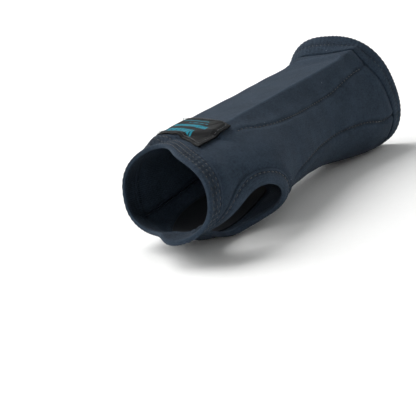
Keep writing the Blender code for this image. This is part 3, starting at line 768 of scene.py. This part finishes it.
def stitch_row(context, name, y, angle, height, closed=False, slant=0.0, pitch=None):
    """A row of stitches along a path. Each is a rod, thickest in its middle, whose ends dive into the cloth.

    Its points are the stitch's middle on the path, plus their share of its length along it, plus a ring of
    the thread's radius times (1 - share^4), less BITE times share^2 into the cloth.
    """
    sizes = context.scene.splint_sizes
    outermost, nudge = PANEL + HEM_PROUD, 0.001
    path = surface(y, angle, height, outermost)
    out = surface(y, angle, height + nudge, outermost) - surface(y, angle, height - nudge, outermost)
    if closed:
        path, out = np.vstack([path, path[:1]]), np.vstack([out, out[:1]])
    run = np.concatenate([[0.0], np.cumsum(np.linalg.norm(np.diff(path, axis=0), axis=1))])
    count = int(run[-1] / (pitch or sizes.stitch_pitch))
    centre = (np.arange(count) + 0.5) * run[-1] / count
    share = np.linspace(-1.0, 1.0, STITCH_RINGS)
    half_length = sizes.stitch_length / 2.0 * min(1.0, (pitch or sizes.stitch_pitch) / sizes.stitch_pitch)
    place = centre[:, None] + share * half_length
    middle = np.stack([np.interp(place, run, path[:, k]) for k in range(3)], axis=-1)
    normal = unit(np.stack([np.interp(place, run, out[:, k]) for k in range(3)], axis=-1))
    side = unit(np.cross(np.gradient(middle, axis=1), normal))
    middle = middle + slant * share[None, :, None] * side - BITE * (share**2)[None, :, None] * normal
    turn = np.linspace(0.0, FULL_TURN, THREAD_SIDES, endpoint=False)[:, None]
    radius = sizes.thread_width / 2.0 * np.maximum(1.0 - share**4, 0.02)
    ring = np.cos(turn) * side[:, :, None] + THREAD_FLATNESS * np.sin(turn) * normal[:, :, None]
    points = middle[:, :, None] + radius[None, :, None, None] * ring
    rod = STITCH_RINGS * THREAD_SIDES
    cap = np.array([[0, 1, 2, 3], [3, 4, 5, 0]])
    caps = np.vstack([cap, rod - 1 - np.array([[2, 3, 4, 5], [5, 0, 1, 2]])])
    sides = facing_out(points[0].reshape(-1, 3), grid_faces(STITCH_RINGS, THREAD_SIDES, False, True))
    faces = (np.vstack([sides, caps])[None] + rod * np.arange(count)[:, None, None]).reshape(-1, 4)
    return new_piece(context, name, points, faces, "spun_polyester_thread")


# How far a stitch stands out of its groove in a hem and in a seam, and how deep the pad's stitches lie
HEM_STITCH_RISE, SEAM_STITCH_RISE, PAD_STITCH_DEPTH = 0.00025, 0.0002, 0.0004
# Gap from the label to the pocket's rows, their length past the stay, and points along a row and round a rim
POCKET_ROW_GAP, POCKET_ROW_PAST, ROW_POINTS, RIM_POINTS = 0.003, 0.003, 500, 900


def make_stitching(context):
    """Sews the hems, the binding, the side seams, the pocket and the pad."""
    sizes = context.scene.splint_sizes
    sunk = PANEL + HEM_PROUD - sizes.hem_groove + HEM_STITCH_RISE
    angle = np.linspace(0.0, FULL_TURN, RIM_POINTS, endpoint=False)
    for place, row in zip(("outer", "middle", "inner"), HAND_ROWS):
        y = rim_y(HAND_RIM, angle) + row
        piece = stitch_row(context, f"hand_hem_{place}_stitches", y, angle, sunk, True)
        if place != "middle":
            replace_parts(piece, f"hand_hem_{place}_stitching")
    y = rim_y(FOREARM_RIM, angle) - FOREARM_ROWS[0]
    piece = stitch_row(context, "forearm_hem_stitches", y, angle, sunk, True, slant=0.0003)
    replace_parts(piece, "forearm_hem_stitching")
    y, around = thumb_outline(angle, BINDING_ROWS[0])
    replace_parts(stitch_row(context, "thumb_hole_stitches", y, around, sunk, True), "thumb_hole_stitching")
    low = PANEL - sizes.seam_depth + SEAM_STITCH_RISE
    hole_end = THUMB_Y + THUMB_HALF_LENGTH + BINDING_WIDTH
    hem_end = float(hand_hem_edge(LITTLE_SEAM_ANGLE[0]))
    for name, seam, start in (("thumb", thumb_seam, hole_end), ("little_finger", little_seam, hem_end)):
        y = np.linspace(start, float(forearm_hem_edge(seam(SEAM_Y[-1]))), ROW_POINTS)
        piece = stitch_row(context, f"{name}_side_seam_stitches", y, seam(y), low)
        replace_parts(piece, f"{name}_side_seam")
    low = PANEL - sizes.pocket_depth + SEAM_STITCH_RISE
    for name, side in (("thumb", 1.0), ("little_finger", -1.0)):
        start = float(label_end(pocket_line(POCKET_Y[0], side))) + POCKET_ROW_GAP
        y = np.linspace(start, STAY_END + POCKET_ROW_PAST, ROW_POINTS)
        piece = stitch_row(context, f"pocket_{name}_side_stitches", y, pocket_line(y, side), low)
        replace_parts(piece, f"pocket_stitching_{name}_side")
    y = PAD_Y + PAD_HALF_LENGTH * np.cos(angle)
    around = PAD_ANGLE + PAD_HALF_WIDTH / PAD_RADIUS * np.sin(angle)
    stitch_row(context, "palm_pad_stitches", y, around, PANEL - PAD_STITCH_DEPTH, True)


LABEL_LENGTH, LABEL_WALL, LABEL_PITCH = 0.046, 0.0006, 0.0021
# Height of the ends folded under, their share of the label and the share in which they step up
LABEL_FOLD, FOLD_SHARE, FOLD_STEP = 0.0003, 0.10, 0.02
# The stitching's distance from the label's ends and from its long sides, as shares, and points on each side
INSET_X, INSET_Y, SIDE_POINTS = 0.035, 0.06, 160


def make_label(context):
    """Makes the woven label, with its ends folded under, and sews it on."""
    sizes = context.scene.splint_sizes
    share_y, share_x = np.linspace(0.0, 1.0, 60)[:, None], np.linspace(0.0, 1.0, 110)[None, :]
    y, angle = label_place(share_y, share_x)
    taut = surface(y, angle, PANEL)
    ride = PANEL + cloth_relief(sizes, y, angle, taut) + GAP + LABEL_WALL
    near, far = (FOLD_SHARE - share_x) / FOLD_STEP, (share_x - (1.0 - FOLD_SHARE)) / FOLD_STEP
    fold = LABEL_FOLD * (smooth_step(near) + smooth_step(far))
    curl = sizes.label_curl * np.clip(1.0 - share_x / 0.09, 0.0, 1.0) ** 1.5 * (0.7 + 0.5 * share_y)
    wave = 0.00018 * np.sin(share_x * 31.0 + 2.0) * (bump(share_y, 0.1) + bump(share_y - 1.0, 0.1))
    points = surface(y, angle, ride + fold + curl + wave)
    uv = np.stack(np.broadcast_arrays(share_x * LABEL_LENGTH, share_y * LABEL_HEIGHT), axis=-1)
    faces = grid_faces(*y.shape)
    piece = new_piece(context, "woven_label", points, faces, "damask_woven_label", uv=uv)
    thicken(piece, LABEL_WALL)
    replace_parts(piece, "label")
    run = np.linspace(0.0, 1.0, SIDE_POINTS, endpoint=False)
    up, along_x = INSET_Y + (1 - 2 * INSET_Y) * run, INSET_X + (1 - 2 * INSET_X) * run
    still = np.ones(SIDE_POINTS)
    side_x = np.concatenate([INSET_X * still, along_x, (1 - INSET_X) * still, 1 - along_x])
    side_y = np.concatenate([up, (1 - INSET_Y) * still, up[::-1], INSET_Y * still])
    y, angle = label_place(side_y, side_x)
    ride = PANEL + cloth_relief(sizes, y, angle, surface(y, angle, PANEL)) + GAP + 2.0 * LABEL_WALL
    piece = stitch_row(context, "label_stitches", y, angle, ride, True, pitch=LABEL_PITCH)
    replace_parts(piece, "label_stitching")


def label_place(share_y, share_x):
    """(y, angle) of a point of the label: share_x from its thumb-side end, share_y from the hand hem."""
    y, angle = 0.04, HALF_TURN / 2.0
    for _ in range(ROUNDS):
        first, last = stay_edge(y, 1) - LABEL_BEYOND, stay_edge(y, -1) + LABEL_BEYOND
        angle = first + (last - first) * share_x
        y = hand_hem_edge(angle) + LABEL_MARGIN + LABEL_HEIGHT * share_y
    return y, angle


# The lining's end and the fold by it, as distances from the stay's end, and the fold's width and depth
LINING_END, FOLD_PLACE, FOLD_WIDTH, FOLD_DEPTH = 0.007, 0.009, 0.0015, 0.0001
LINING_RADIUS = 0.03


def make_pocket(context):
    """Makes the pocket's lining, which lies between the stay and the skin."""
    y = np.linspace(POCKET_Y[0], STAY_END - LINING_END, 120)[:, None]
    first, last = pocket_line(y, 1.0), pocket_line(y, -1.0)
    angle = first + (last - first) * np.linspace(0.0, 1.0, 110)
    fold = FOLD_DEPTH * bump(y - STAY_END + FOLD_PLACE, FOLD_WIDTH)
    points = surface(y, angle, -GAP - fold, stuffed=False)
    uv = np.stack([angle * LINING_RADIUS, y * np.ones_like(angle)], axis=-1)
    piece = new_piece(context, "stay_pocket_tricot", points, grid_faces(*angle.shape), "brushed_nylon_tricot",
                      uv=uv)
    thicken(piece, LINING)
    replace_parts(piece, "stay_pocket_lining")


STAY_EASE, STAY_SHARP = 0.0004, math.radians(35)


def make_stay(context):
    """Makes the stay: a flat strip with rounded corners and eased edges, that slides out of its pocket."""
    turn = np.linspace(0.0, HALF_TURN / 2.0, 17)
    turns = np.concatenate([turn + k * HALF_TURN / 2.0 for k in range(4)])
    right, ahead = np.repeat([1.0, -1.0, -1.0, 1.0], 17), np.repeat([1.0, 1.0, -1.0, -1.0], 17)
    ease = STAY_EASE
    section = np.linspace(-HALF_TURN / 2.0, HALF_TURN / 2.0, 9)
    inset = ease * (1.0 - np.cos(section))
    low = LINING + GAP
    lift = np.where(section < 0.0, low + ease, low + STAY_THICKNESS - ease) + ease * np.sin(section)
    grown = STAY_CORNER - inset[:, None]
    x = right * (STAY_WIDTH / 2.0 - STAY_CORNER) + grown * np.cos(turns)
    y = (STAY_START + STAY_END) / 2.0 + ahead * ((STAY_END - STAY_START) / 2.0 - STAY_CORNER)
    y = y + grown * np.sin(turns)
    points = np.stack([x, y, lift[:, None] * np.ones_like(x)], axis=-1)
    rows, columns = points.shape[:2]
    sides = facing_out(points.reshape(-1, 3), grid_faces(rows, columns, False, True)).tolist()
    top = list(range((rows - 1) * columns, rows * columns))
    piece = new_piece(context, "polyethylene_stay", points, [*sides, list(range(columns))[::-1], top],
                      "natural_polyethylene", body="stay")
    piece.data.set_sharp_from_angle(angle=STAY_SHARP)
    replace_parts(piece, "stay")


def pad_place(share, count=70):
    """(y, angle) of a square grid drawn out to the pad's oval, and how far out each point is."""
    u, v = np.meshgrid(np.linspace(-1.0, 1.0, count), np.linspace(-1.0, 1.0, count))
    ahead, across = u * np.sqrt(1.0 - v**2 / 2.0), v * np.sqrt(1.0 - u**2 / 2.0)
    angle = PAD_ANGLE + share * PAD_HALF_WIDTH / PAD_RADIUS * across
    return PAD_Y + share * PAD_HALF_LENGTH * ahead, angle, np.hypot(ahead, across)


def closed_sheet(context, name, outer, inner, material):
    """A shell of two grids joined round their edge."""
    rows, columns = outer.shape[:2]
    faces = [grid_faces(rows, columns), grid_faces(rows, columns)[:, ::-1] + rows * columns]
    index = np.arange(rows * columns).reshape(rows, columns)
    rim = np.concatenate([index[0], index[1:, -1], index[-1, -2::-1], index[-2:0:-1, 0]])
    other = rim + rows * columns
    faces.append(np.stack([rim, np.roll(rim, -1), np.roll(other, -1), other], axis=-1))
    points = np.stack([outer, inner]).reshape(-1, 3)
    return new_piece(context, name, points, facing_out(points, np.vstack(faces)), material)


# The cover's crown, the foam's size as a share of the cover's and how much its edge is rounded off
PAD_CROWN, FOAM_SHARE, FOAM_EASE = 0.0004, 0.64, 0.0006


def make_pad(context):
    """Makes the palm pad: foam behind a tricot cover that is crowned on the skin side."""
    y, angle, out = pad_place(1.0)
    crown = PAD_CROWN * (1.0 - out**2)
    outer = surface(y, angle, -1.5 * GAP, stuffed=False)
    inner = surface(y, angle, -GAP - LINING - crown, stuffed=False)
    cover = closed_sheet(context, "palm_pad_tricot", outer, inner, "brushed_nylon_tricot")
    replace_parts(cover, "palm_pad_cover")
    y, angle, out = pad_place(FOAM_SHARE)
    edge = FOAM_EASE * out**6
    outer = surface(y, angle, -3.0 * GAP - edge)
    inner = surface(y, angle, 0.5 * GAP + edge / 2.0, stuffed=False)
    foam = closed_sheet(context, "palm_pad_cushion", outer, inner, "open_cell_foam")
    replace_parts(foam, "palm_pad_foam")


# The floor is flat to a radius and sweeps up in a quarter circle to an upright wall
FLOOR_FLAT, SWEEP, WALL_TOP, FLOOR_SIDES, FLOOR_DROP = 1.4, 1.1, 2.6, 72, 0.0004


def make_stage(context):
    """Makes the pale floor that sweeps up all round, the soft lights and the camera."""
    scene = context.scene
    bend = np.linspace(0.0, HALF_TURN / 2.0, 14)
    flat = [0.02, 0.3, 0.7, 1.1]
    out = np.concatenate([flat, FLOOR_FLAT + SWEEP * np.sin(bend), [FLOOR_FLAT + SWEEP]])
    rise = np.concatenate([np.zeros(len(flat)), SWEEP * (1.0 - np.cos(bend)), [WALL_TOP]])
    turn = np.linspace(0.0, FULL_TURN, FLOOR_SIDES, endpoint=False)[None, :]
    rings = (out[:, None] * np.cos(turn), out[:, None] * np.sin(turn), rise[:, None] - FLOOR_DROP)
    points = np.stack(np.broadcast_arrays(*rings), axis=-1)
    mesh = bpy.data.meshes.new("floor")
    faces = grid_faces(len(out), FLOOR_SIDES, False, True).tolist()
    mesh.from_pydata(points.reshape(-1, 3).tolist(), [], [*faces, list(range(FLOOR_SIDES))])
    mesh.shade_smooth()
    material, tree, shader = new_material("matt_paper_backdrop", Roughness=0.9)
    fibre = object_texture(tree, "TexNoise", 300.0, Detail=3.0).outputs[0]
    paint(tree, shader, linear(0xF2F2F1), linear(0xF6F6F5), fibre)
    mesh.materials.append(material)
    floor = bpy.data.objects.new("floor", mesh)
    scene.collection.objects.link(floor)
    for name, place, aim, size, power in LIGHTS:
        lamp = bpy.data.lights.new(name, "AREA")
        lamp.shape, lamp.size, lamp.energy = "DISK", size, power
        obj = bpy.data.objects.new(name, lamp)
        obj.location = place
        obj.rotation_euler = (Vector(aim) - Vector(place)).to_track_quat("-Z", "Y").to_euler()
        scene.collection.objects.link(obj)
    world = bpy.data.worlds.new("studio")
    world.use_nodes = True
    sky = world.node_tree.nodes["Background"].inputs
    sky[0].default_value, sky[1].default_value = (0.95, 0.97, 1.0, 1.0), WORLD_STRENGTH
    scene.world = world
    scene.view_settings.view_transform = "Standard"
    lens = bpy.data.cameras.new("camera")
    lens.lens, lens.sensor_width = CAMERA_LENS, 36.0
    lens.clip_start, lens.clip_end = 0.05, 20.0
    camera = bpy.data.objects.new("camera", lens)
    camera.matrix_world = Matrix(SLEEVE.tolist()) @ camera_matrix()
    scene.collection.objects.link(camera)
    scene.camera = camera


# Where the camera stands in the sleeve frame, and how it is turned
CAMERA_PLACE, CAMERA_LENS = (0.3035, -0.3474, 0.0937), 89.9
CAMERA_AZIMUTH, CAMERA_ELEVATION, CAMERA_ROLL = (math.radians(a) for a in (38.38, 14.72, -15.74))
WORLD_STRENGTH = 0.20
# Name, place, aim, diameter and power of each lamp
LIGHTS = (
    ("key", (-1.10, 0.00, 1.50), (0.0, 0.0, 0.04), 2.40, 52.0),
    ("fill", (0.80, -0.55, 0.40), (0.0, 0.0, 0.04), 0.70, 0.3),
    ("back", (0.30, 1.60, 0.90), (0.0, 0.0, 0.05), 1.20, 1.5),
)


def camera_matrix():
    """The camera's axes are its right, its up and its back, turned by azimuth, elevation and then roll."""
    az, el = CAMERA_AZIMUTH, CAMERA_ELEVATION
    back = Vector((math.sin(az) * math.cos(el), -math.cos(az) * math.cos(el), math.sin(el)))
    right = Vector((math.cos(az), math.sin(az), 0.0))
    up = back.cross(right)
    c, s = math.cos(CAMERA_ROLL), math.sin(CAMERA_ROLL)
    rows = Matrix((c * right + s * up, c * up - s * right, back)).transposed()
    return Matrix.Translation(CAMERA_PLACE) @ rows.to_4x4()


def operator_class(name, label, build):
    """An operator that calls a function of the context."""

    def execute(self, context):
        build(context)
        return {"FINISHED"}

    body = {"__doc__": build.__doc__, "bl_idname": f"splint.{name}", "bl_label": label, "execute": execute}
    return type(f"SPLINT_OT_{name}", (Operator,), body)


OPERATORS = [operator_class(*row) for row in (
    ("panels", "Knit panels", make_panels),
    ("hems", "Hems", make_hems),
    ("binding", "Thumb-hole binding", make_binding),
    ("stitching", "Stitching", make_stitching),
    ("label", "Label", make_label),
    ("pocket", "Pocket lining", make_pocket),
    ("stay", "Stay", make_stay),
    ("pad", "Palm pad", make_pad),
    ("stage", "Stage", make_stage),
)]


class SPLINT_PT_pieces(Panel):
    """Lists the sizes, the colours and the pieces"""

    bl_label = "Wrist splint"
    bl_idname = "SPLINT_PT_pieces"
    bl_space_type = "VIEW_3D"
    bl_region_type = "UI"
    bl_category = "Wrist splint"

    def draw(self, context):
        for group in (context.scene.splint_sizes, context.scene.splint_colours):
            box = self.layout.box()
            for name in group.__annotations__:
                box.prop(group, name)
        for operator in OPERATORS:
            self.layout.operator(operator.bl_idname)


CLASSES = (SplintSizes, SplintColours, *OPERATORS, SPLINT_PT_pieces)


def register():
    for cls in CLASSES:
        bpy.utils.register_class(cls)
    bpy.types.Scene.splint_sizes = PointerProperty(type=SplintSizes)
    bpy.types.Scene.splint_colours = PointerProperty(type=SplintColours)


def unregister():
    del bpy.types.Scene.splint_colours
    del bpy.types.Scene.splint_sizes
    for cls in reversed(CLASSES):
        bpy.utils.unregister_class(cls)


def main():
    register()
    for operator in OPERATORS:
        name = operator.bl_idname.split(".")[1]
        if getattr(bpy.ops.splint, name)() != {"FINISHED"}:
            raise RuntimeError(f"{name} did not finish")


if __name__ == "__main__":
    main()
